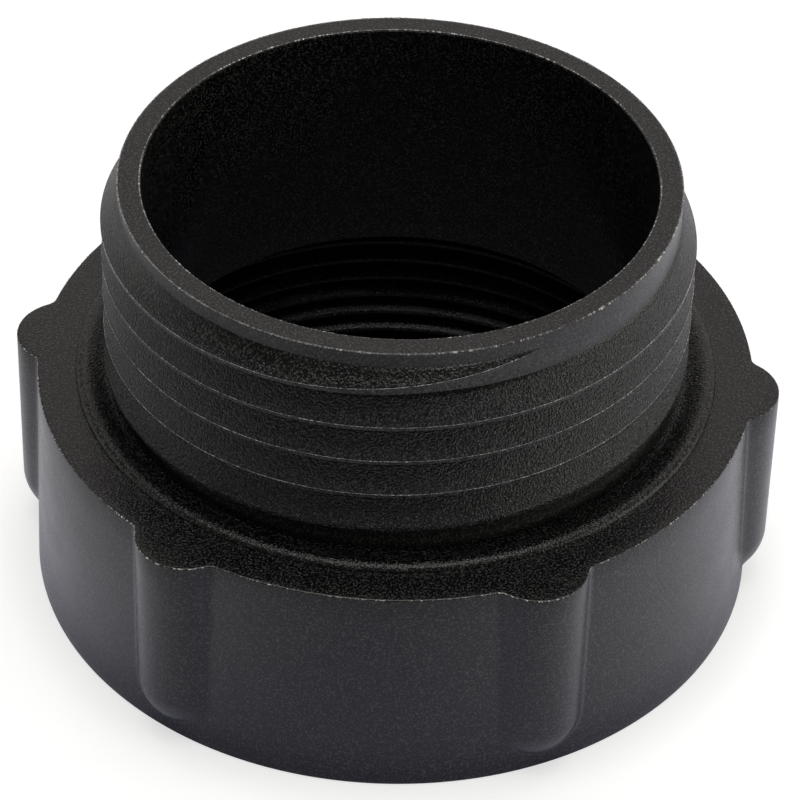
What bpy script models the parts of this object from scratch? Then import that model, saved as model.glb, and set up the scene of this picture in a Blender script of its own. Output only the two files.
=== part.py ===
"""Diesel exhaust fluid adapter: one black plastic moulding.

A coarse buttress thread on top screws into a drum opening. The collar below it
has six grip lugs outside and a socket inside, and a tapered bore joins the two.
Metres, +Z up, origin at the centre of the bottom face, one lug on the +X axis.
"""
import math

import bmesh
import bpy

MM = 0.001

# Heights above the bottom face
TOTAL_HEIGHT = 45.3 * MM
COLLAR_HEIGHT = 23.0 * MM

# Neck that carries the outer thread, and the bore through it, wider at its foot
NECK_RADIUS = 26.85 * MM
NECK_WALL = 2.25 * MM
BORE_DRAFT = 0.5 * MM
RIM_EDGE = 0.15 * MM
NECK_FILLET = 0.6 * MM
BORE_TOP_RADIUS = NECK_RADIUS - NECK_WALL
BORE_FOOT_RADIUS = BORE_TOP_RADIUS + BORE_DRAFT

# Socket at the bottom, at the crest diameter of its inner thread
SHOULDER_WALL = 3.9 * MM
SHOULDER_LEDGE = 3.23 * MM
SEAT_GROOVE = 1.57 * MM
SEAT_LENGTH = 2.15 * MM
SEAT_TAPER = 0.45 * MM
MOUTH_CHAMFER = 1.5 * MM
SHOULDER_HEIGHT = COLLAR_HEIGHT - SHOULDER_WALL
SOCKET_RADIUS = BORE_FOOT_RADIUS + SHOULDER_LEDGE
SEAT_RADIUS = SOCKET_RADIUS + SEAT_GROOVE

# Collar round the socket, a little wider at its foot, with a low bead on its top face
COLLAR_WALL = 5.2 * MM
COLLAR_DRAFT = 0.65 * MM
COLLAR_EDGE = 0.35 * MM
FOOT_EDGE = 0.2 * MM
COLLAR_TOP_RADIUS = SEAT_RADIUS + COLLAR_WALL
COLLAR_FOOT_RADIUS = COLLAR_TOP_RADIUS + COLLAR_DRAFT
BEAD_OFFSET = 3.45 * MM
BEAD_HALF_WIDTH = 1.0 * MM
BEAD_HEIGHT = 0.55 * MM
BEAD_RADIUS = NECK_RADIUS + BEAD_OFFSET

# Outer thread, right hand, with a steep lower flank and a long upper one
PITCH = 4.0 * MM
THREAD_DEPTH = 1.65 * MM
CREST_FLAT = 0.42 * MM
LOWER_FLANK = 0.25 * MM
ROOT_FLAT = 0.58 * MM
ROOT_SINK = 0.6 * MM
PLAIN_BAND = 1.55 * MM
START_DEPTH = 3.21 * MM
END_CLEARANCE = 1.15 * MM
START_ANGLE = -43.0
START_RUN_OUT = 48.0
END_RUN_OUT = 50.0
CREST_RADIUS = NECK_RADIUS + THREAD_DEPTH
UPPER_FLANK = PITCH - CREST_FLAT - LOWER_FLANK - ROOT_FLAT
START_HEIGHT = TOTAL_HEIGHT - START_DEPTH
THREAD_TURNS = (START_HEIGHT - COLLAR_HEIGHT - END_CLEARANCE) / PITCH

# Inner thread of the socket, right hand, 11 turns per inch
SOCKET_PITCH = 25.4 * MM / 11.0
SOCKET_THREAD_DEPTH = 1.48 * MM
SOCKET_FLAT = 0.32 * MM
SOCKET_CUT_IN = 0.2 * MM
SOCKET_START_ANGLE = 228.0
SOCKET_START_HEIGHT = SHOULDER_HEIGHT - 0.5 * SOCKET_PITCH
SOCKET_TURNS = (SOCKET_START_HEIGHT + SOCKET_PITCH) / SOCKET_PITCH

# Grip lugs
LUG_COUNT = 6
LUG_REACH = 1.9 * MM
LUG_ROUND = 4.9 * MM
LUG_FILLET = 1.2 * MM
LUG_FOOT_HEIGHT = 1.3 * MM
LUG_COVER = 2.0 * MM
LUG_OVERLAP = 0.05 * MM
LUG_CENTRE = COLLAR_FOOT_RADIUS + LUG_REACH - LUG_ROUND

# Fineness of the round forms
STEPS = 60
ARC_STEPS = 3
BEAD_STEPS = 6
TIP_STEPS = 5
FILLET_STEPS = 3
FOOT_STEPS = 6
MERGE = 0.001 * MM


def clear_scene():
    for old in list(bpy.data.objects):
        bpy.data.objects.remove(old, do_unlink=True)


def new_collection(name):
    group = bpy.data.collections.new(name)
    bpy.context.scene.collection.children.link(group)
    return group


def black_plastic():
    material = bpy.data.materials.new("black_plastic")
    material.use_nodes = True
    shader = material.node_tree.nodes["Principled BSDF"]
    shader.inputs["Base Color"].default_value = (0.016, 0.016, 0.017, 1.0)
    shader.inputs["Roughness"].default_value = 0.55
    shader.inputs["Metallic"].default_value = 0.0
    return material


def arc(centre, radius, first, last, steps):
    """Points of an arc about centre, with both angles in degrees and both ends included."""
    points = []
    for step in range(steps + 1):
        turn = math.radians(first + (last - first) * step / steps)
        points.append((centre[0] + radius * math.cos(turn), centre[1] + radius * math.sin(turn)))
    return points


def collar_radius(height):
    """Radius of the drafted collar at a height."""
    share = height / COLLAR_HEIGHT
    return COLLAR_FOOT_RADIUS + (COLLAR_TOP_RADIUS - COLLAR_FOOT_RADIUS) * share


def bead_outline():
    """The low bead from its foot by the neck to its outer foot: part of one circle."""
    round_radius = (BEAD_HALF_WIDTH ** 2 + BEAD_HEIGHT ** 2) / (2.0 * BEAD_HEIGHT)
    centre = (BEAD_RADIUS, COLLAR_HEIGHT + BEAD_HEIGHT - round_radius)
    half_angle = math.degrees(math.asin(BEAD_HALF_WIDTH / round_radius))
    return arc(centre, round_radius, 90.0 + half_angle, 90.0 - half_angle, BEAD_STEPS)


def body_section():
    """Section of the turned body: down its outer side, then up its inner side."""
    points = [(NECK_RADIUS - RIM_EDGE, TOTAL_HEIGHT), (NECK_RADIUS, TOTAL_HEIGHT - RIM_EDGE)]
    fillet_centre = (NECK_RADIUS + NECK_FILLET, COLLAR_HEIGHT + NECK_FILLET)
    points += arc(fillet_centre, NECK_FILLET, 180.0, 270.0, ARC_STEPS)
    points += bead_outline()
    edge_centre = (COLLAR_TOP_RADIUS - COLLAR_EDGE, COLLAR_HEIGHT - COLLAR_EDGE)
    points += arc(edge_centre, COLLAR_EDGE, 90.0, 0.0, ARC_STEPS)
    points += [(collar_radius(FOOT_EDGE), FOOT_EDGE), (COLLAR_FOOT_RADIUS - FOOT_EDGE, 0.0)]
    points += [(SOCKET_RADIUS + MOUTH_CHAMFER, 0.0), (SOCKET_RADIUS, MOUTH_CHAMFER)]
    seat_foot = SHOULDER_HEIGHT - SEAT_LENGTH
    points += [(SOCKET_RADIUS, seat_foot - SEAT_TAPER), (SEAT_RADIUS, seat_foot)]
    points += [(SEAT_RADIUS, SHOULDER_HEIGHT), (BORE_FOOT_RADIUS, SHOULDER_HEIGHT)]
    points += [(BORE_TOP_RADIUS, TOTAL_HEIGHT - RIM_EDGE), (BORE_TOP_RADIUS + RIM_EDGE, TOTAL_HEIGHT)]
    return points


def turned_body(material, group):
    """The whole moulding without threads and lugs, as one closed section turned about Z."""
    section = body_section()
    mesh = bpy.data.meshes.new("adapter_body")
    vertices = [(radius, 0.0, height) for radius, height in section]
    edges = [(index, (index + 1) % len(section)) for index in range(len(section))]
    mesh.from_pydata(vertices, edges, [])
    mesh.materials.append(material)
    body = bpy.data.objects.new("adapter_body", mesh)
    group.objects.link(body)
    turn = body.modifiers.new("turn", "SCREW")
    turn.axis = "Z"
    turn.angle = math.tau
    turn.steps = STEPS
    turn.render_steps = STEPS
    turn.use_merge_vertices = True
    turn.merge_threshold = MERGE
    turn.use_smooth_shade = True
    return body


def loft(name, sections, material, group):
    """A closed solid through sections with the same number of points, capped at both ends."""
    work = bmesh.new()
    rings = [[work.verts.new(point) for point in section] for section in sections]
    count = len(rings[0])
    for lower, upper in zip(rings, rings[1:]):
        for index in range(count):
            after = (index + 1) % count
            work.faces.new((lower[index], lower[after], upper[after], upper[index]))
    work.faces.new(rings[0][::-1])
    work.faces.new(rings[-1])
    bmesh.ops.recalc_face_normals(work, faces=work.faces)
    mesh = bpy.data.meshes.new(name)
    work.to_mesh(mesh)
    work.free()
    mesh.materials.append(material)
    solid = bpy.data.objects.new(name, mesh)
    solid.hide_render = True
    solid.display_type = "WIRE"
    group.objects.link(solid)
    return solid


def run_out(angle, span):
    """Share of the thread depth at an angle into a run-out, rising smoothly from 0 to 1."""
    share = min(1.0, angle / span)
    return share * share * (3.0 - 2.0 * share)


def thread_section(angle):
    """Radius and height of the thread's four corners, after turning by an angle from its start."""
    total = 360.0 * THREAD_TURNS
    share = min(run_out(angle, START_RUN_OUT), run_out(total - angle, END_RUN_OUT))
    buried = NECK_RADIUS - ROOT_SINK
    crest = CREST_RADIUS - (THREAD_DEPTH + ROOT_SINK / 2.0) * (1.0 - share)
    lower_edge = START_HEIGHT - PITCH * angle / 360.0
    flank_foot = lower_edge + CREST_FLAT
    flank_top = min(flank_foot + UPPER_FLANK, TOTAL_HEIGHT - PLAIN_BAND)
    slope = (flank_top - flank_foot) / THREAD_DEPTH
    return [
        (buried, lower_edge - LOWER_FLANK),
        (crest, lower_edge),
        (crest, flank_foot + slope * (CREST_RADIUS - crest)),
        (buried, flank_foot + slope * (CREST_RADIUS - buried)),
    ]


def socket_thread_section(angle):
    """Radius and height of the four corners of the socket thread's groove, at an angle from its start."""
    middle = SOCKET_START_HEIGHT - SOCKET_PITCH * angle / 360.0
    root_half = 0.5 * SOCKET_FLAT
    slope = (0.5 * SOCKET_PITCH - SOCKET_FLAT) / SOCKET_THREAD_DEPTH
    mouth_half = root_half + slope * (SOCKET_THREAD_DEPTH + SOCKET_CUT_IN)
    root = SOCKET_RADIUS + SOCKET_THREAD_DEPTH
    inner = SOCKET_RADIUS - SOCKET_CUT_IN
    return [
        (inner, middle - mouth_half),
        (root, middle - root_half),
        (root, middle + root_half),
        (inner, middle + mouth_half),
    ]


def helix(name, section_at, start_angle, turns, material, group):
    """A loft along a right-hand helix that descends clockwise, through the section at each angle."""
    sections = []
    for station in range(round(turns * STEPS) + 1):
        angle = 360.0 * station / STEPS
        turn = math.radians(start_angle - angle)
        sections.append([
            (radius * math.cos(turn), radius * math.sin(turn), height)
            for radius, height in section_at(min(angle, 360.0 * turns))
        ])
    return loft(name, sections, material, group)


def lug_joints(collar, inset):
    """Angles at the axis where the lug's tip meets its fillet, and where the fillet meets the collar."""
    tip = LUG_ROUND - inset
    fillet = LUG_FILLET + inset
    reach = collar + fillet
    swing = math.acos((LUG_CENTRE ** 2 + reach ** 2 - (tip + fillet) ** 2) / (2.0 * LUG_CENTRE * reach))
    share = tip / (tip + fillet)
    touch_x = LUG_CENTRE * (1.0 - share) + reach * math.cos(swing) * share
    touch_y = reach * math.sin(swing) * share
    return math.atan2(touch_y, touch_x), swing


def lug_radius(offset, collar, inset):
    """Radius of a lug's plan at an angle from its middle: round tip, fillet, then the collar."""
    touch, swing = lug_joints(collar, inset)
    if offset <= touch:
        across = LUG_CENTRE * math.sin(offset)
        return LUG_CENTRE * math.cos(offset) + math.sqrt((LUG_ROUND - inset) ** 2 - across ** 2)
    if offset < swing:
        fillet = LUG_FILLET + inset
        reach = collar + fillet
        across = reach * math.sin(offset - swing)
        return reach * math.cos(offset - swing) - math.sqrt(max(fillet ** 2 - across ** 2, 0.0))
    return collar


def lug_offsets():
    """Angles from the lug's middle at which its outline has points, on both sides."""
    touch, swing = lug_joints(COLLAR_TOP_RADIUS - LUG_OVERLAP, 0.0)
    half = [touch * step / TIP_STEPS for step in range(TIP_STEPS + 1)]
    half += [touch + (swing - touch) * step / FILLET_STEPS for step in range(1, FILLET_STEPS + 1)]
    return [-offset for offset in half[:0:-1]] + half


def lug_section(height, drop, inset):
    """Outline of a lug at a height. In the round foot, it is read at the distance from the foot's middle."""
    wall = collar_radius(height) - LUG_OVERLAP - inset
    points = []
    for offset in lug_offsets():
        across = math.hypot(COLLAR_FOOT_RADIUS * math.sin(offset), drop)
        radius = lug_radius(math.asin(across / COLLAR_FOOT_RADIUS), wall, inset)
        points.append((radius * math.cos(offset), radius * math.sin(offset), height))
    buried = SEAT_RADIUS + LUG_COVER
    return points + [(buried, points[-1][1], height), (buried, points[0][1], height)]


def grip_lug(material, group):
    """One lug: a round foot like half a ball with its fillet, straight above, with a rounded top edge."""
    swing = lug_joints(COLLAR_FOOT_RADIUS - LUG_OVERLAP, 0.0)[1]
    foot = COLLAR_FOOT_RADIUS * math.sin(swing)
    sections = []
    for step in range(FOOT_STEPS + 1):
        drop = foot * math.cos(0.5 * math.pi * step / FOOT_STEPS)
        sections.append(lug_section(LUG_FOOT_HEIGHT + foot - drop, drop, 0.0))
    for step in range(ARC_STEPS + 1):
        turn = 0.5 * math.pi * step / ARC_STEPS
        height = COLLAR_HEIGHT - COLLAR_EDGE * (1.0 - math.sin(turn))
        sections.append(lug_section(height, 0.0, COLLAR_EDGE * (1.0 - math.cos(turn))))
    return loft("grip_lug", sections, material, group)


def grip_lugs(material, group):
    """All lugs, evenly round the axis, on one shared mesh."""
    first = grip_lug(material, group)
    for index in range(1, LUG_COUNT):
        lug = first.copy()
        lug.rotation_euler = (0.0, 0.0, math.tau * index / LUG_COUNT)
        group.objects.link(lug)


def combine(body, name, operation, group):
    """Add every solid of a collection to the body, or cut it out, and weld the hairline edges that are left."""
    change = body.modifiers.new(name, "BOOLEAN")
    change.operation = operation
    change.solver = "EXACT"
    change.operand_type = "COLLECTION"
    change.collection = group
    closing = body.modifiers.new(name + "_weld", "WELD")
    closing.merge_threshold = MERGE


def build():
    clear_scene()
    part = new_collection("diesel_exhaust_fluid_adapter")
    thread = new_collection("thread_to_join")
    socket_thread = new_collection("socket_thread_to_cut")
    lugs = new_collection("lugs_to_join")
    material = black_plastic()
    body = turned_body(material, part)
    helix("outer_thread", thread_section, START_ANGLE, THREAD_TURNS, material, thread)
    helix("socket_thread", socket_thread_section, SOCKET_START_ANGLE, SOCKET_TURNS, material, socket_thread)
    grip_lugs(material, lugs)
    combine(body, "cut_socket_thread", "DIFFERENCE", socket_thread)
    combine(body, "add_thread", "UNION", thread)
    combine(body, "add_lugs", "UNION", lugs)


build()
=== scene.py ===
"""Looks of the diesel exhaust fluid adapter: a fine mesh of the moulding, its finish, light and camera.

The mesh is one closed skin of rings round the axis. Every ring has the same columns, which run clockwise
seen from above, starting at the angle where the outer thread starts. Both threads are bands whose rows
descend by one pitch a turn, so a row joins the row of the next turn where the columns close. A second piece
is the thin ragged flash that a mould leaves along sharp edges.
"""
import math

import bmesh
import bpy
import numpy as np
from mathutils import Matrix, Vector

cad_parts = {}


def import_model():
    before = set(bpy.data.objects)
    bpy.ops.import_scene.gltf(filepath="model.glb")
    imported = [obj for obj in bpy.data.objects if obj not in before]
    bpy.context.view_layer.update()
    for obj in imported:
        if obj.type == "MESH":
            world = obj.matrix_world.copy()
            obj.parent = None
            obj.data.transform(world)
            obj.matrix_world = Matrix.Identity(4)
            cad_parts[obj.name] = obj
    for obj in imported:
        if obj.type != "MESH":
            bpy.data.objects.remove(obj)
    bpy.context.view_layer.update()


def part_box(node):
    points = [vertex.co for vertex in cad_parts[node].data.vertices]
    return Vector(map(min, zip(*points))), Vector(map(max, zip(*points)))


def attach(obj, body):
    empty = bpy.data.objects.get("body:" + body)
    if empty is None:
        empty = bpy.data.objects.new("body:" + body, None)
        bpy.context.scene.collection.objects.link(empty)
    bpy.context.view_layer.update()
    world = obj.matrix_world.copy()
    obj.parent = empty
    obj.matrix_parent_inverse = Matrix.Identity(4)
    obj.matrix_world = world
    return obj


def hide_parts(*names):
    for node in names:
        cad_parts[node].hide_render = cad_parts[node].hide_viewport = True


MM = 0.001
NODE = "adapter_body"

# Heights and radii of the moulding, in millimetres
COLLAR_HEIGHT = 23.0
NECK_RADIUS = 26.85
BORE_TOP_RADIUS = 24.6
BORE_FOOT_RADIUS = 25.1
RIM_EDGE = 0.15
NECK_FILLET = 0.6
SHOULDER_HEIGHT = 19.1
SOCKET_RADIUS = 28.33
SEAT_RADIUS = 29.9
SEAT_LENGTH = 2.15
SEAT_TAPER = 0.45
MOUTH_CHAMFER = 1.5
COLLAR_TOP_RADIUS = 35.1
COLLAR_FOOT_RADIUS = 35.75
COLLAR_EDGE = 0.15
FOOT_EDGE = 0.2
BEAD_INNER_RADIUS = 28.3
BEAD_CREST_RADIUS = 30.5
BEAD_OUTER_RADIUS = 31.4
BEAD_HEIGHT = 0.66

# Outer thread
PITCH = 4.0
CREST_RADIUS = 28.5
CREST_FLAT = 0.42
CREST_EDGE = 0.05
LOWER_FLANK = 0.25
UPPER_FLANK = 2.75
PLAIN_BAND = 1.55
START_DEPTH = 3.21
END_CLEARANCE = 1.15
START_ANGLE = -43.0
START_BURIED = 12.0
START_RISE = 55.0
END_RUN_OUT = 50.0
END_BURIED_DEPTH = 0.3
FLANK_ROWS = 6

# Inner thread, 11 turns per inch
SOCKET_PITCH = 25.4 / 11.0
SOCKET_THREAD_DEPTH = 1.48
SOCKET_FLAT = 0.32
SOCKET_EDGE = 0.08
SOCKET_START_ANGLE = 228.0

# Grip lugs
LUG_COUNT = 6
LUG_REACH = 1.9
LUG_ROUND = 4.9
LUG_FILLET = 1.2
LUG_FOOT_HEIGHT = 1.3
LUG_CENTRE = COLLAR_FOOT_RADIUS + LUG_REACH - LUG_ROUND

# Columns round the axis for each half lug, and rows down a lug's foot
TIP_COLUMNS = 10
FILLET_COLUMNS = 6
WALL_COLUMNS = 15
FOOT_ROWS = 18

# Distance at which points merge, and the angle in degrees from which an edge is sharp
WELD = 0.0005
SHARP_ANGLE = 24.0

# How much of the coarse grain each face shows. The thread's flanks have the most
FILLET_COARSE = 0.1
GROOVE_COARSE = 0.6
BEAD_COARSE = 0.45
LAND_COARSE = 0.22
FLANK_COARSE = (0.35, 1.0)

# Flash along the edges: spacing of its points, length of its coarse waves and how deep it sits
FLASH_SPACING = 0.12
FLASH_WAVE = 2.4
FLASH_SINK = 0.03
# Angle and half width of the stretch of the rim where it is worst, and the end of the thread that has none
FLASH_MIDDLE = -50.0
FLASH_SPREAD = 32.0
CLEAN_END = 270.0

# Scales of the noise in the plastic, for each metre
GRAIN_SCALE = 4700.0
SPECK_SCALE = 2600.0
TONE_SCALE = 260.0
FLASH_GRAIN_SCALE = 4000.0

# Depth of the grain's relief in metres, its share on smooth faces, and what it gains on coarse ones
BUMP_DISTANCE = 0.00018
SMOOTH_RELIEF = 0.12
COARSE_RELIEF = 0.88
DULL_ROUGHNESS = 0.45
FLASH_ROUGHNESS = 0.45

# Surround and floor: levels for lighting, for what the camera sees, and of the pale horizon
SURROUND_LEVEL = 0.11
SURROUND_SEEN = 1.1
HORIZON_LEVEL = 0.7
FLOOR_SEEN = 0.65
FLOOR_RADIUS = 1.2

# Lamps: name, place in metres, width, height, level and colour
LAMPS = [
    ("left_softbox", (-1.2, 0.1, 0.3), 1.0, 0.6, 0.46, (1.0, 1.0, 1.0)),
    ("right_softbox", (1.2, 0.0, 0.32), 1.0, 0.6, 1.9, (1.0, 0.98, 0.88)),
    ("back_softbox", (0.07, 1.1, 0.85), 1.6, 1.0, 0.52, (1.0, 0.93, 0.92)),
    ("top_softbox", (0.02, 0.0, 1.3), 0.9, 0.9, 3.0, (1.0, 0.99, 0.97)),
]
LAMP_AIM = (0.0, 0.0, 0.02)

# Camera, fitted to the rim, the bore, the collar and the base in the photograph
CAMERA_AZIMUTH = 5.479
CAMERA_ELEVATION = 39.399
CAMERA_DISTANCE = 397.94
CAMERA_ROLL = 1.508
CAMERA_AIM_HEIGHT = 17.96
CAMERA_AIM_RIGHT = 0.513
FOCAL_PIXELS = 4018.4
IMAGE_PIXELS = 800.0
SENSOR = 36.0
NEAR_CLIP = 0.01
FAR_CLIP = 20.0


def arc(centre, radius, first, last, steps):
    """Points of an arc, with both angles in degrees and both ends included."""
    turns = np.radians(np.linspace(first, last, steps + 1))
    return [(centre[0] + radius * math.cos(turn), centre[1] + radius * math.sin(turn)) for turn in turns]


def along(first, last, steps):
    """Points of a straight run after its first point, with its last point."""
    across = last[0] - first[0]
    up = last[1] - first[1]
    shares = np.linspace(0.0, 1.0, steps + 1)[1:]
    return [(first[0] + across * share, first[1] + up * share) for share in shares]


def run_out(angle, span):
    """Share of the full height at an angle or distance into a run-out, rising smoothly from 0 to 1."""
    share = np.clip(angle / span, 0.0, 1.0)
    return share * share * (3.0 - 2.0 * share)


def collar_radius(height):
    """Radius of the drafted collar at a height."""
    return COLLAR_FOOT_RADIUS + (COLLAR_TOP_RADIUS - COLLAR_FOOT_RADIUS) * height / COLLAR_HEIGHT


def lug_joints(collar, inset=0.0):
    """Angles at the axis where a lug's round tip meets its fillet, and where the fillet meets the collar."""
    tip = LUG_ROUND - inset
    fillet = LUG_FILLET + inset
    reach = collar + fillet
    swing = math.acos((LUG_CENTRE ** 2 + reach ** 2 - (tip + fillet) ** 2) / (2.0 * LUG_CENTRE * reach))
    share = tip / (tip + fillet)
    touch_x = LUG_CENTRE * (1.0 - share) + reach * math.cos(swing) * share
    touch_y = reach * math.sin(swing) * share
    return math.atan2(touch_y, touch_x), swing


def column_angles():
    """Angles of all columns in degrees, clockwise from the thread's start, finer at the lugs."""
    touch, swing = lug_joints(COLLAR_TOP_RADIUS)
    half_step = math.pi / LUG_COUNT
    half = list(np.linspace(0.0, touch, TIP_COLUMNS + 1))
    half += list(np.linspace(touch, swing, FILLET_COLUMNS + 1))[1:]
    half += list(np.linspace(swing, half_step, WALL_COLUMNS + 1))[1:]
    one = [-angle for angle in half[-2:0:-1]] + half
    angles = np.degrees([angle + 2.0 * half_step * index for index in range(LUG_COUNT) for angle in one])
    from_start = np.mod(START_ANGLE - angles, 360.0)
    return START_ANGLE - np.sort(from_start)


ANGLES = column_angles()
TURNED = START_ANGLE - ANGLES
COLUMNS = len(ANGLES)


def plan_radius(angles, height, drop=0.0, inset=0.0):
    """Radius of the collar with its lugs at angles in degrees. Drop is the depth into a lug's round foot."""
    collar = collar_radius(height) - inset
    offset = np.radians(np.mod(angles + 180.0 / LUG_COUNT, 360.0 / LUG_COUNT) - 180.0 / LUG_COUNT)
    across = np.hypot(COLLAR_FOOT_RADIUS * np.sin(offset), drop)
    offset = np.arcsin(np.minimum(across / COLLAR_FOOT_RADIUS, 1.0))
    touch, swing = lug_joints(collar, inset)
    tip = LUG_ROUND - inset
    fillet = LUG_FILLET + inset
    reach = collar + fillet
    radius = np.full(len(angles), collar)
    on_tip = offset <= touch
    near = offset[on_tip]
    radius[on_tip] = LUG_CENTRE * np.cos(near) + np.sqrt(tip ** 2 - (LUG_CENTRE * np.sin(near)) ** 2)
    on_fillet = (offset > touch) & (offset < swing)
    away = offset[on_fillet] - swing
    dip = np.sqrt(np.maximum(fillet ** 2 - (reach * np.sin(away)) ** 2, 0.0))
    radius[on_fillet] = reach * np.cos(away) - dip
    return radius


def thread_turn(total_height):
    """Height of the outer thread's start, and the angle it turns through."""
    start = total_height - START_DEPTH
    return start, 360.0 * (start - COLLAR_HEIGHT - END_CLEARANCE) / PITCH


def thread_crest(angle, total_height):
    """The outer thread at angles from its start: crest radius, lower and upper crest edge, and flank top."""
    start, total = thread_turn(total_height)
    depth = CREST_RADIUS - NECK_RADIUS
    rise = np.clip((angle - START_BURIED) / START_RISE, 0.0, 1.0)
    fall = (depth + END_BURIED_DEPTH) * (1.0 - run_out(total - angle, END_RUN_OUT))
    crest = np.maximum(NECK_RADIUS, CREST_RADIUS - np.maximum(depth * (1.0 - rise) ** 2, fall))
    lower = start - PITCH * angle / 360.0
    foot = lower + CREST_FLAT
    flank_top = np.minimum(foot + UPPER_FLANK, total_height - PLAIN_BAND)
    upper = flank_top + (foot - flank_top) * (crest - NECK_RADIUS) / depth
    return crest, lower, upper, flank_top


def outer_thread_rows(total_height):
    """Rows of the outer thread, turn by turn from the top, and their number in a turn.

    A row is its radii, its heights and how far it is marked as an edge.
    """
    turns = math.ceil(thread_turn(total_height)[1] / 360.0) + 1
    rows = []
    for turn in range(-1, turns):
        crest, lower, upper, flank_top = thread_crest(TURNED + 360.0 * turn, total_height)
        stand = crest - NECK_RADIUS
        raised = stand / (CREST_RADIUS - NECK_RADIUS)
        edge = CREST_EDGE * raised
        undercut = LOWER_FLANK * raised
        for share in np.linspace(0.0, 1.0, FLANK_ROWS, endpoint=False):
            rows.append((NECK_RADIUS + stand * share, flank_top + (upper - flank_top) * share, 0.0))
        rows.append((crest - edge, upper + edge, 0.4))
        rows.append((crest, upper - edge, 0.4))
        rows.append((crest, lower + edge, 1.0))
        rows.append((crest - edge, lower, 1.0))
        rows.append((NECK_RADIUS + 0.5 * stand, lower - 0.5 * undercut, 0.0))
        rows.append((np.full(COLUMNS, NECK_RADIUS), lower - undercut, 0.0))
    return rows, FLANK_ROWS + 6


def inner_thread_rows():
    """Rows of the socket's thread, from the seat's groove down to the mouth, and their number in a turn."""
    top = SHOULDER_HEIGHT - SEAT_LENGTH
    half = 0.5 * SOCKET_FLAT
    flank = 0.5 * SOCKET_PITCH - SOCKET_FLAT
    edge = SOCKET_EDGE
    root = SOCKET_RADIUS + SOCKET_THREAD_DEPTH
    middle = SOCKET_RADIUS + 0.5 * SOCKET_THREAD_DEPTH
    profile = [
        (root, half - edge, 0.0),
        (root, edge - half, 0.0),
        (root - edge, -half - edge, 0.0),
        (middle, -half - 0.5 * flank, 0.0),
        (SOCKET_RADIUS + edge, -half - flank + 0.5 * edge, 0.5),
        (SOCKET_RADIUS, -half - flank - edge, 1.0),
        (SOCKET_RADIUS, half + flank + edge - SOCKET_PITCH, 1.0),
        (SOCKET_RADIUS + edge, half + flank - 0.5 * edge - SOCKET_PITCH, 0.5),
        (middle, half + 0.5 * flank - SOCKET_PITCH, 0.0),
        (root - edge, half + edge - SOCKET_PITCH, 0.0),
    ]
    ahead = (START_ANGLE - SOCKET_START_ANGLE) / 360.0
    first = SHOULDER_HEIGHT - 0.5 * SOCKET_PITCH + SOCKET_PITCH * ahead
    rows = []
    for turn in range(-2, math.ceil(first / SOCKET_PITCH) + 1):
        centre = first - SOCKET_PITCH * (TURNED / 360.0 + turn)
        for radius, drop, mark in profile:
            height = centre + drop
            chamfer = SOCKET_RADIUS + MOUTH_CHAMFER - height
            into_seat = (height - top + SEAT_TAPER) / SEAT_TAPER
            groove = SOCKET_RADIUS + (SEAT_RADIUS - SOCKET_RADIUS) * into_seat
            cut = np.maximum(radius, np.maximum(chamfer, groove))
            rows.append((cut, height, mark * (cut <= radius + 0.001)))
    return rows, len(profile)


class Skin:
    """Collects the rings and faces of the closed surface.

    A ring is a list of vertex numbers, one for each column. Each vertex also says how far it is on a sharp
    edge, how coarse its grain is and how dull it is, all from 0 to 1.
    """

    def __init__(self):
        self.points = []
        self.edge = []
        self.coarse = []
        self.dull = []
        self.faces = []
        self.last = None

    def ring(self, radius, height, mark=0.0, coarse=0.0, dull=0.0):
        """Adds one ring and returns its vertex numbers."""
        values = (radius, height, mark, coarse, dull)
        radius, height, mark, coarse, dull = [np.broadcast_to(value, (COLUMNS,)) for value in values]
        turn = np.radians(ANGLES)
        start = len(self.points)
        self.points += list(zip(radius * np.cos(turn), radius * np.sin(turn), height))
        self.edge += list(mark)
        self.coarse += list(coarse)
        self.dull += list(dull)
        return list(range(start, start + COLUMNS))

    def strip(self, upper, lower, shift_upper=None, shift_lower=None):
        """Faces between two rings. The last column closes on the shifted rings, where those are given."""
        shift_upper = upper if shift_upper is None else shift_upper
        shift_lower = lower if shift_lower is None else shift_lower
        for column in range(COLUMNS - 1):
            self.faces.append((upper[column], lower[column], lower[column + 1], upper[column + 1]))
        self.faces.append((upper[-1], lower[-1], shift_lower[0], shift_upper[0]))

    def add(self, radius, height, mark=0.0, coarse=0.0, dull=0.0):
        """Adds a ring and joins it to the one before."""
        ring = self.ring(radius, height, mark, coarse, dull)
        if self.last is not None:
            self.strip(self.last, ring)
        self.last = ring
        return ring

    def section(self, points, mark=0.0, coarse=0.0, dull=0.0):
        """Adds one ring for each point of radius and height."""
        for radius, height in points:
            self.add(radius, height, mark, coarse, dull)

    def band(self, rows, per_turn, low, top, radius_low, radius_top, upward=False):
        """Adds a thread band: rows clamped between two heights, closing one turn further down."""
        rings = []
        for radius, height, mark in rows:
            inside = (height < top) & (height > low)
            held = np.where(height >= top, radius_top, np.where(height <= low, radius_low, radius))
            below_top = np.clip(0.5 * (top - height), *FLANK_COARSE)
            coarse = np.where(inside & (radius > radius_top), below_top, 0.0)
            mark = np.where(inside, mark, 0.0)
            dull = np.where(height <= low, 1.0, 0.0)
            rings.append(self.ring(held, np.clip(height, low, top), mark, coarse, dull))
        last = len(rings) - 1
        for index in range(last):
            self.strip(rings[index], rings[index + 1], rings[min(index + per_turn, last)],
                       rings[min(index + 1 + per_turn, last)])
        entry, leave = (rings[-1], rings[0]) if upward else (rings[0], rings[-1])
        self.strip(self.last, entry)
        self.last = leave


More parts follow.
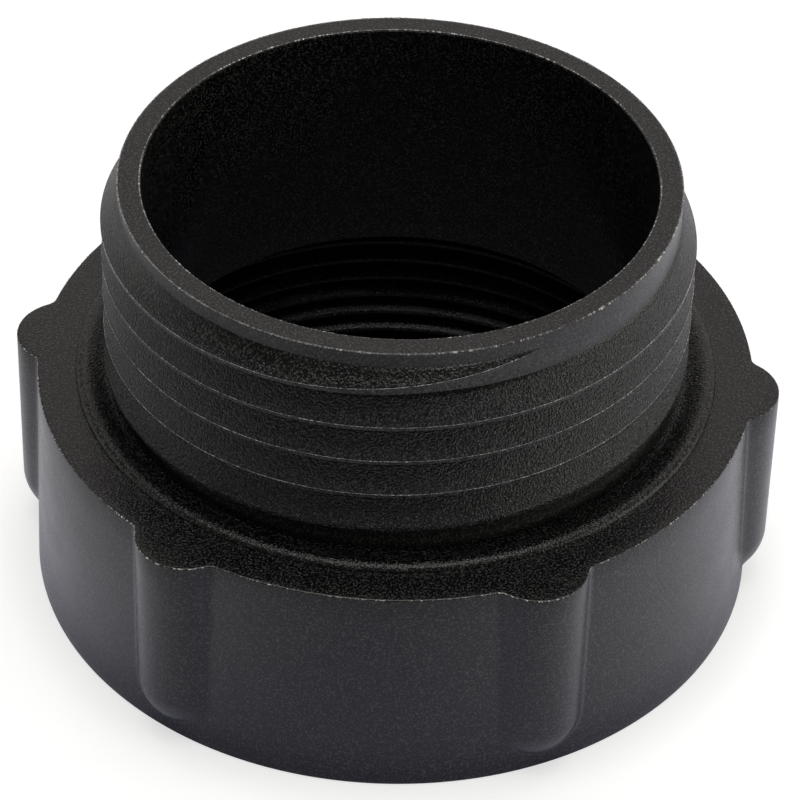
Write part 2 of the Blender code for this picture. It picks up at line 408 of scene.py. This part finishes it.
def bead_outline():
    """The low bead on the collar's top: a gentle rise on the neck's side, then a steep round fall."""
    width = BEAD_CREST_RADIUS - BEAD_INNER_RADIUS
    reach = BEAD_OUTER_RADIUS - BEAD_CREST_RADIUS
    outline = []
    for share in np.linspace(0.0, 1.0, 10):
        height = COLLAR_HEIGHT + BEAD_HEIGHT * run_out(share, 1.0)
        outline.append((BEAD_INNER_RADIUS + width * share, height))
    for out, up in arc((0.0, 0.0), 1.0, 90.0, 0.0, 8)[1:]:
        outline.append((BEAD_CREST_RADIUS + reach * out, COLLAR_HEIGHT + BEAD_HEIGHT * up))
    return outline


def collar_rings(skin):
    """Top land, edge, side with its lugs, and foot edge of the collar."""
    top_plan = plan_radius(ANGLES, COLLAR_HEIGHT, 0.0, COLLAR_EDGE)
    for share in np.linspace(0.2, 0.8, 4):
        land = BEAD_OUTER_RADIUS + (top_plan - BEAD_OUTER_RADIUS) * share
        skin.add(land, COLLAR_HEIGHT, 0.0, LAND_COARSE)
    for turn in np.radians(np.linspace(0.0, 90.0, 6)):
        height = COLLAR_HEIGHT - COLLAR_EDGE * (1.0 - math.cos(turn))
        inset = COLLAR_EDGE * (1.0 - math.sin(turn))
        skin.add(plan_radius(ANGLES, height, 0.0, inset), height, 1.0 if 0.1 < turn < 1.2 else 0.0)
    foot = COLLAR_FOOT_RADIUS * math.sin(lug_joints(COLLAR_FOOT_RADIUS)[1])
    foot_middle = LUG_FOOT_HEIGHT + foot
    for height in np.linspace(COLLAR_HEIGHT - COLLAR_EDGE, foot_middle, 7)[1:]:
        skin.add(plan_radius(ANGLES, height), height)
    for turn in np.radians(np.linspace(0.0, 90.0, FOOT_ROWS + 1))[1:]:
        drop = foot * math.sin(turn)
        skin.add(plan_radius(ANGLES, foot_middle - drop, drop), foot_middle - drop)
    skin.add(collar_radius(FOOT_EDGE), FOOT_EDGE)
    foot_centre = (collar_radius(FOOT_EDGE) - FOOT_EDGE, FOOT_EDGE)
    skin.section(arc(foot_centre, FOOT_EDGE, 0.0, -90.0, 4)[1:])


def rim_rings(skin, total_height):
    """The flat rim with its rounded outer edge, from the bore to the plain band. Returns the first ring."""
    first = skin.add(BORE_TOP_RADIUS + RIM_EDGE, total_height, 0.8)
    skin.add(BORE_TOP_RADIUS + 2.0 * RIM_EDGE, total_height)
    for share in (0.35, 0.65):
        skin.add(BORE_TOP_RADIUS + (NECK_RADIUS - BORE_TOP_RADIUS) * share, total_height)
    skin.add(NECK_RADIUS - 2.0 * RIM_EDGE, total_height)
    edge_centre = (NECK_RADIUS - RIM_EDGE, total_height - RIM_EDGE)
    skin.section(arc(edge_centre, RIM_EDGE, 90.0, 0.0, 4), 1.0)
    skin.add(NECK_RADIUS, total_height - 2.0 * RIM_EDGE)
    skin.add(NECK_RADIUS, total_height - 0.5 * PLAIN_BAND)
    return first


def moulding_skin(total_height):
    """The whole closed surface, from the rim's inner edge outwards and round to the bore."""
    skin = Skin()
    first = rim_rings(skin, total_height)
    neck_foot = COLLAR_HEIGHT + NECK_FILLET
    band_top = total_height - PLAIN_BAND
    rows, per_turn = outer_thread_rows(total_height)
    skin.add(NECK_RADIUS, band_top)
    skin.band(rows, per_turn, neck_foot, band_top, NECK_RADIUS, NECK_RADIUS)
    fillet = arc((NECK_RADIUS + NECK_FILLET, neck_foot), NECK_FILLET, 180.0, 270.0, 5)
    skin.section(fillet, 0.0, FILLET_COARSE, 1.0)
    bead = bead_outline()
    skin.section(along((NECK_RADIUS + NECK_FILLET, COLLAR_HEIGHT), bead[0], 2), 0.0, GROOVE_COARSE)
    skin.section(bead[1:], 0.0, BEAD_COARSE)
    collar_rings(skin)
    mouth = SOCKET_RADIUS + MOUTH_CHAMFER
    skin.section(along((COLLAR_FOOT_RADIUS - FOOT_EDGE, 0.0), (mouth, 0.0), 3))
    rows, per_turn = inner_thread_rows()
    skin.band(rows, per_turn, 0.0, SHOULDER_HEIGHT - SEAT_LENGTH, mouth, SEAT_RADIUS, upward=True)
    skin.section([(SEAT_RADIUS, SHOULDER_HEIGHT - 0.5 * SEAT_LENGTH), (SEAT_RADIUS, SHOULDER_HEIGHT)])
    lip = (BORE_FOOT_RADIUS + RIM_EDGE, SHOULDER_HEIGHT)
    skin.section(along((SEAT_RADIUS, SHOULDER_HEIGHT), lip, 3))
    bore_foot = (BORE_FOOT_RADIUS, SHOULDER_HEIGHT + RIM_EDGE)
    skin.add(*bore_foot, 0.3)
    skin.section(along(bore_foot, (BORE_TOP_RADIUS, total_height - RIM_EDGE), 10))
    skin.strip(skin.last, first)
    return skin


def new_object(name, points, faces, **marks):
    """A mesh object from points in millimetres, with named attributes of one number for each point."""
    mesh = bpy.data.meshes.new(name)
    mesh.from_pydata([(x * MM, y * MM, z * MM) for x, y, z in points], [], faces)
    for mark, values in marks.items():
        attribute = mesh.attributes.new(mark, "FLOAT", "POINT")
        attribute.data.foreach_set("value", np.array(values, np.float32))
    work = bmesh.new()
    work.from_mesh(mesh)
    bmesh.ops.remove_doubles(work, verts=work.verts, dist=WELD * MM)
    bmesh.ops.dissolve_degenerate(work, edges=work.edges, dist=WELD * MM)
    bmesh.ops.recalc_face_normals(work, faces=work.faces)
    bmesh.ops.triangulate(work, faces=[face for face in work.faces if len(face.verts) > 4])
    work.to_mesh(mesh)
    work.free()
    piece = bpy.data.objects.new(name, mesh)
    bpy.context.scene.collection.objects.link(piece)
    return piece


def moulding(total_height):
    """The moulding, with the skin's three marks as attributes edge, coarse and dull."""
    skin = moulding_skin(total_height)
    piece = new_object("moulding", skin.points, skin.faces,
                       edge=skin.edge, coarse=skin.coarse, dull=skin.dull)
    piece.data.shade_smooth()
    piece.data.set_sharp_from_angle(angle=math.radians(SHARP_ANGLE))
    return piece


def flash_line(angles, radius, height, size, steady, closed, seed):
    """Points, faces and sizes of one strip of four-sided sections along an edge.

    Size is about the most that it stands out, in millimetres. Steady 0 is ragged, and 1 is even.
    """
    source = np.random.RandomState(seed)
    count = len(angles)
    wave_count = max(3, int(count * FLASH_SPACING / FLASH_WAVE))
    knots = source.uniform(0.15, 1.0, wave_count)
    wave = np.interp(np.arange(count), np.linspace(0, count, wave_count + 1), np.append(knots, knots[0]))
    ragged = np.clip(source.uniform(-0.5, 1.0, count), 0.0, 1.0) ** 1.3 * wave
    share = (ragged + (0.45 - ragged) * steady) * size / np.max(size)
    reach = np.max(size) * (0.1 + share)
    turn = np.radians(angles)
    outline = [
        (radius + reach, height - 0.3 * reach),
        (radius + 0.2 * reach, height + reach),
        (radius - reach - FLASH_SINK, height - 0.2 * FLASH_SINK),
        (radius - FLASH_SINK, height - reach - FLASH_SINK),
    ]
    points = []
    for index in range(count):
        cosine = math.cos(turn[index])
        sine = math.sin(turn[index])
        for far, up in outline:
            points.append((far[index] * cosine, far[index] * sine, up[index]))
    faces = []
    for index in range(count if closed else count - 1):
        after = (index + 1) % count
        for side in range(4):
            nearer = (side + 1) % 4
            faces.append((4 * index + side, 4 * after + side, 4 * after + nearer, 4 * index + nearer))
    if not closed:
        faces.append((3, 2, 1, 0))
        faces.append(tuple(4 * (count - 1) + side for side in range(4)))
    return points, faces, list(np.repeat(share, 4))


def round_angles(radius):
    """Angles in degrees of points at the flash's spacing round a circle."""
    return np.linspace(0.0, 360.0, int(math.tau * radius / FLASH_SPACING), endpoint=False)


def edge_flash(total_height):
    """One piece with the flash of the rim's two edges, the collar's top edge and the thread's crest."""
    outer = round_angles(NECK_RADIUS)
    outer_radius = np.full(len(outer), NECK_RADIUS - 0.3 * RIM_EDGE)
    outer_height = np.full(len(outer), total_height - 0.3 * RIM_EDGE)
    away = np.mod(outer - FLASH_MIDDLE + 180.0, 360.0) - 180.0
    worst = np.exp(-(away / FLASH_SPREAD) ** 2)
    inner = round_angles(BORE_TOP_RADIUS)
    inner_radius = np.full(len(inner), BORE_TOP_RADIUS + RIM_EDGE)
    inner_height = np.full(len(inner), total_height)
    collar = round_angles(COLLAR_TOP_RADIUS)
    inset = 0.3 * COLLAR_EDGE
    collar_plan = plan_radius(collar, COLLAR_HEIGHT, 0.0, inset)
    collar_height = np.full(len(collar), COLLAR_HEIGHT - inset)
    step = math.degrees(FLASH_SPACING / CREST_RADIUS)
    turned = np.arange(START_BURIED + 4.0, thread_turn(total_height)[1] - CLEAN_END, step)
    crest, _, upper, _ = thread_crest(turned, total_height)
    lines = [
        (outer, outer_radius, outer_height, 0.16 + 0.08 * worst, 0.6 * (1.0 - worst), True),
        (inner, inner_radius, inner_height, 0.09, 0.2, True),
        (collar, collar_plan, collar_height, 0.1, 0.1, True),
        (START_ANGLE - turned, crest - 0.02, upper - 0.01, 0.06, 0.6, False),
    ]
    points = []
    faces = []
    sizes = []
    for seed, line in enumerate(lines):
        shift = len(points)
        line_points, line_faces, line_sizes = flash_line(*line, seed)
        points += line_points
        faces += [tuple(index + shift for index in face) for face in line_faces]
        sizes += line_sizes
    return new_object("edge_flash", points, faces, size=sizes)


def set_input(tree, socket, value):
    """Gives a socket a value, or a link where the value is another node's output."""
    if isinstance(value, bpy.types.NodeSocket):
        tree.links.new(value, socket)
    else:
        socket.default_value = value


def node(tree, kind, **inputs):
    """A shader node with some of its inputs set, each a value or another node's output."""
    made = tree.nodes.new(kind)
    for name, value in inputs.items():
        set_input(tree, made.inputs[name.replace("_", " ")], value)
    return made


def ramp(tree, source, *stops):
    """A ramp with the given stops of position and value. A value is a grey level or a colour."""
    made = tree.nodes.new("ShaderNodeValToRGB")
    tree.links.new(source, made.inputs["Fac"])
    elements = made.color_ramp.elements
    while len(elements) < len(stops):
        elements.new(0.5)
    for element, (position, value) in zip(elements, stops):
        element.position = position
        element.color = (*value, 1.0) if isinstance(value, tuple) else (value, value, value, 1.0)
    return made.outputs["Color"]


def maths(tree, operation, first, second):
    """The result of a Math node on two inputs, each a value or another node's output."""
    made = tree.nodes.new("ShaderNodeMath")
    made.operation = operation
    for socket, value in zip(made.inputs, (first, second)):
        set_input(tree, socket, value)
    return made.outputs["Value"]


def attribute(tree, name):
    """The value of a mesh attribute."""
    made = tree.nodes.new("ShaderNodeAttribute")
    made.attribute_name = name
    return made.outputs["Fac"]


def object_place(tree):
    """The place of a point in its object."""
    return tree.nodes.new("ShaderNodeTexCoord").outputs["Object"]


def new_material(name):
    """A node material with its tree and its shader."""
    material = bpy.data.materials.new(name)
    material.use_nodes = True
    tree = material.node_tree
    return material, tree, tree.nodes["Principled BSDF"]


def black_plastic():
    """Moulded black plastic: fine matte grain, a few pale specks, and faint wear with a painted highlight on
    the marked edges.
    """
    material, tree, shader = new_material("black_plastic")
    place = object_place(tree)
    grain = node(tree, "ShaderNodeTexNoise", Vector=place, Scale=GRAIN_SCALE, Detail=1.0, Roughness=0.6)
    speck = node(tree, "ShaderNodeTexNoise", Vector=place, Scale=SPECK_SCALE, Detail=2.0, Roughness=0.7)
    tone = node(tree, "ShaderNodeTexNoise", Vector=place, Scale=TONE_SCALE, Detail=4.0, Roughness=0.6)
    edge = attribute(tree, "edge")
    coarse = attribute(tree, "coarse")
    dull = attribute(tree, "dull")
    fine_skin = ramp(tree, grain.outputs["Fac"], (0.46, 0.0), (0.54, 0.003), (0.62, 0.06))
    rough_skin = ramp(tree, grain.outputs["Fac"], (0.52, 0.0), (0.57, 0.002), (0.62, 0.05))
    smooth = maths(tree, "SUBTRACT", 1.0, coarse)
    skin = maths(tree, "ADD", maths(tree, "MULTIPLY", rough_skin, coarse),
                 maths(tree, "MULTIPLY", fine_skin, smooth))
    dust = ramp(tree, speck.outputs["Fac"], (0.74, 0.0), (0.79, 0.17))
    # Paler along the marked edges: partly whitened wear, partly a painted edge highlight
    wear_and_glint = maths(tree, "MULTIPLY", ramp(tree, speck.outputs["Fac"], (0.48, 0.0), (0.6, 0.05)), edge)
    pale = maths(tree, "MAXIMUM", wear_and_glint, dust)
    set_input(tree, shader.inputs["Base Color"], maths(tree, "ADD", skin, pale))
    rough = ramp(tree, tone.outputs["Fac"], (0.3, 0.24), (0.7, 0.31))
    duller = maths(tree, "MULTIPLY", dull, DULL_ROUGHNESS)
    set_input(tree, shader.inputs["Roughness"], maths(tree, "ADD", rough, duller))
    depth = maths(tree, "ADD", maths(tree, "MULTIPLY", coarse, COARSE_RELIEF), SMOOTH_RELIEF)
    relief = maths(tree, "MULTIPLY", grain.outputs["Fac"], depth)
    bump = node(tree, "ShaderNodeBump", Strength=1.0, Distance=BUMP_DISTANCE, Height=relief)
    set_input(tree, shader.inputs["Normal"], bump.outputs["Normal"])
    return material


def pale_flash():
    """The same plastic where it is thin and torn: paler the further it stands out, partly from whitening and
    partly as a painted edge highlight.
    """
    material, tree, shader = new_material("pale_flash")
    grain = node(tree, "ShaderNodeTexNoise", Vector=object_place(tree), Scale=FLASH_GRAIN_SCALE, Detail=1.0)
    # Paleness of the flash: partly whitened torn plastic, partly a painted edge highlight
    torn_and_glint = ramp(tree, attribute(tree, "size"), (0.05, 0.06), (0.5, 1.0))
    tone = maths(tree, "MULTIPLY", torn_and_glint, ramp(tree, grain.outputs["Fac"], (0.4, 0.3), (0.6, 1.0)))
    set_input(tree, shader.inputs["Base Color"], tone)
    shader.inputs["Roughness"].default_value = FLASH_ROUGHNESS
    return material


def camera():
    """Camera at the photograph's viewing angle."""
    azimuth = math.radians(CAMERA_AZIMUTH)
    elevation = math.radians(CAMERA_ELEVATION)
    roll = math.radians(CAMERA_ROLL)
    level = math.cos(elevation)
    back = Vector((math.sin(azimuth) * level, -math.cos(azimuth) * level, math.sin(elevation)))
    right = Vector((math.cos(azimuth), math.sin(azimuth), 0.0))
    up = back.cross(right)
    x_axis = right * math.cos(roll) + up * math.sin(roll)
    y_axis = up * math.cos(roll) - right * math.sin(roll)
    aim = Vector((0.0, 0.0, CAMERA_AIM_HEIGHT)) + right * CAMERA_AIM_RIGHT
    place = (aim + back * CAMERA_DISTANCE) * MM
    data = bpy.data.cameras.new("camera")
    data.sensor_width = SENSOR
    data.lens = FOCAL_PIXELS * SENSOR / IMAGE_PIXELS
    data.clip_start = NEAR_CLIP
    data.clip_end = FAR_CLIP
    made = bpy.data.objects.new("camera", data)
    turned = Matrix((x_axis, y_axis, back)).transposed().to_4x4()
    made.matrix_world = Matrix.Translation(place) @ turned
    bpy.context.scene.collection.objects.link(made)
    bpy.context.scene.camera = made


def softbox(name, place, width, height, level, colour):
    """An area lamp that faces the object. Level is how bright its surface is, where white is 1."""
    data = bpy.data.lights.new(name, "AREA")
    data.shape = "RECTANGLE"
    data.size = width
    data.size_y = height
    data.energy = level * math.pi * width * height
    data.color = colour
    lamp = bpy.data.objects.new(name, data)
    lamp.location = place
    lamp.rotation_euler = (Vector(LAMP_AIM) - Vector(place)).to_track_quat("-Z", "Y").to_euler()
    lamp.visible_camera = False
    bpy.context.scene.collection.objects.link(lamp)


def world():
    """Dim surround, white for the camera, with a pale horizon behind that only the plastic mirrors."""
    made = bpy.data.worlds.new("surround")
    made.use_nodes = True
    tree = made.node_tree
    background = tree.nodes["Background"]
    background.inputs["Color"].default_value = (1.0, 0.97, 0.91, 1.0)
    path = tree.nodes.new("ShaderNodeLightPath")
    strength = node(tree, "ShaderNodeMapRange", Value=path.outputs["Is Camera Ray"],
                    To_Min=SURROUND_LEVEL, To_Max=SURROUND_SEEN)
    towards = tree.nodes.new("ShaderNodeTexCoord").outputs["Generated"]
    axes = node(tree, "ShaderNodeSeparateXYZ", Vector=towards)
    low = node(tree, "ShaderNodeMapRange", Value=axes.outputs["Z"], From_Min=0.3, From_Max=0.1)
    back = node(tree, "ShaderNodeMapRange", Value=axes.outputs["Y"], From_Min=0.0, From_Max=0.5,
                To_Max=HORIZON_LEVEL)
    horizon = maths(tree, "MULTIPLY", low.outputs["Result"], back.outputs["Result"])
    mirrored = maths(tree, "MULTIPLY", horizon, path.outputs["Is Glossy Ray"])
    set_input(tree, background.inputs["Strength"], maths(tree, "ADD", strength.outputs["Result"], mirrored))
    bpy.context.scene.world = made


def floor_material():
    """White paper with painted shade that makes it darker under the part. For glossy rays it glows as a
    painted reflection of light on the floor, more at some places.
    """
    material, tree, shader = new_material("floor_white")
    shader.inputs["Roughness"].default_value = 0.9
    path = tree.nodes.new("ShaderNodeLightPath")
    place = object_place(tree)
    away = node(tree, "ShaderNodeVectorMath")
    away.operation = "LENGTH"
    set_input(tree, away.inputs[0], place)
    distance = away.outputs["Value"]
    # Painted shade: the floor is darker under and inside the part, and it has no glow there
    out_of_shade = node(tree, "ShaderNodeMapRange", Value=distance, From_Min=0.026, From_Max=0.04)
    out_of_shade = out_of_shade.outputs["Result"]
    set_input(tree, shader.inputs["Base Color"], ramp(tree, out_of_shade, (0.0, 0.12), (1.0, 0.7)))
    axes = node(tree, "ShaderNodeSeparateXYZ", Vector=place)
    across = node(tree, "ShaderNodeMapRange", Value=axes.outputs["X"], From_Min=-0.1, From_Max=0.1)
    across = across.outputs["Result"]
    # Painted light on the floor, seen only in reflections: it varies from left to right, and near the part
    # it fades with distance
    beside = ramp(tree, across, (0.24, 0.35), (0.31, 0.56), (0.36, 0.42), (0.45, 0.3), (0.55, 0.33),
                  (0.7, 0.55), (0.8, 0.75))
    beyond = ramp(tree, across, (0.2, 0.12), (0.5, 0.0), (0.8, 0.4))
    fade = node(tree, "ShaderNodeMapRange", Value=distance, From_Min=0.06, From_Max=0.08,
                To_Min=1.0, To_Max=0.0)
    painted_floor_light = maths(tree, "MAXIMUM", beyond, maths(tree, "MULTIPLY", beside, fade.outputs["Result"]))
    mirrored = maths(tree, "MULTIPLY", path.outputs["Is Glossy Ray"], out_of_shade)
    seen = maths(tree, "MULTIPLY", path.outputs["Is Camera Ray"], FLOOR_SEEN)
    glow = maths(tree, "MAXIMUM", seen, maths(tree, "MULTIPLY", painted_floor_light, mirrored))
    set_input(tree, shader.inputs["Emission Strength"], glow)
    # Painted reflection colour: the glow that glossy rays see is tinted blue, while the camera sees white
    cool = ramp(tree, across, (0.3, (0.85, 0.85, 1.0)), (0.5, (0.54, 0.54, 1.0)), (0.7, (0.85, 0.85, 1.0)))
    tint = node(tree, "ShaderNodeMixRGB", Fac=path.outputs["Is Camera Ray"], Color1=cool,
                Color2=(1.0, 1.0, 1.0, 1.0))
    set_input(tree, shader.inputs["Emission Color"], tint.outputs["Color"])
    return material


def floor():
    """White floor that keeps a soft shadow, with painted shade under the part and a painted glow that the
    plastic mirrors.
    """
    mesh = bpy.data.meshes.new("floor")
    work = bmesh.new()
    bmesh.ops.create_circle(work, cap_ends=True, segments=64, radius=FLOOR_RADIUS)
    work.to_mesh(mesh)
    work.free()
    made = bpy.data.objects.new("floor", mesh)
    bpy.context.scene.collection.objects.link(made)
    mesh.materials.append(floor_material())


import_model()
bpy.context.scene.view_settings.view_transform = "Standard"
camera()
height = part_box(NODE)[1].z / MM
body = moulding(height)
body.data.materials.append(black_plastic())
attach(body, "root")
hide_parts(NODE)
flash = edge_flash(height)
flash.data.materials.append(pale_flash())
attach(flash, "root")
world()
floor()
for lamp in LAMPS:
    softbox(*lamp)
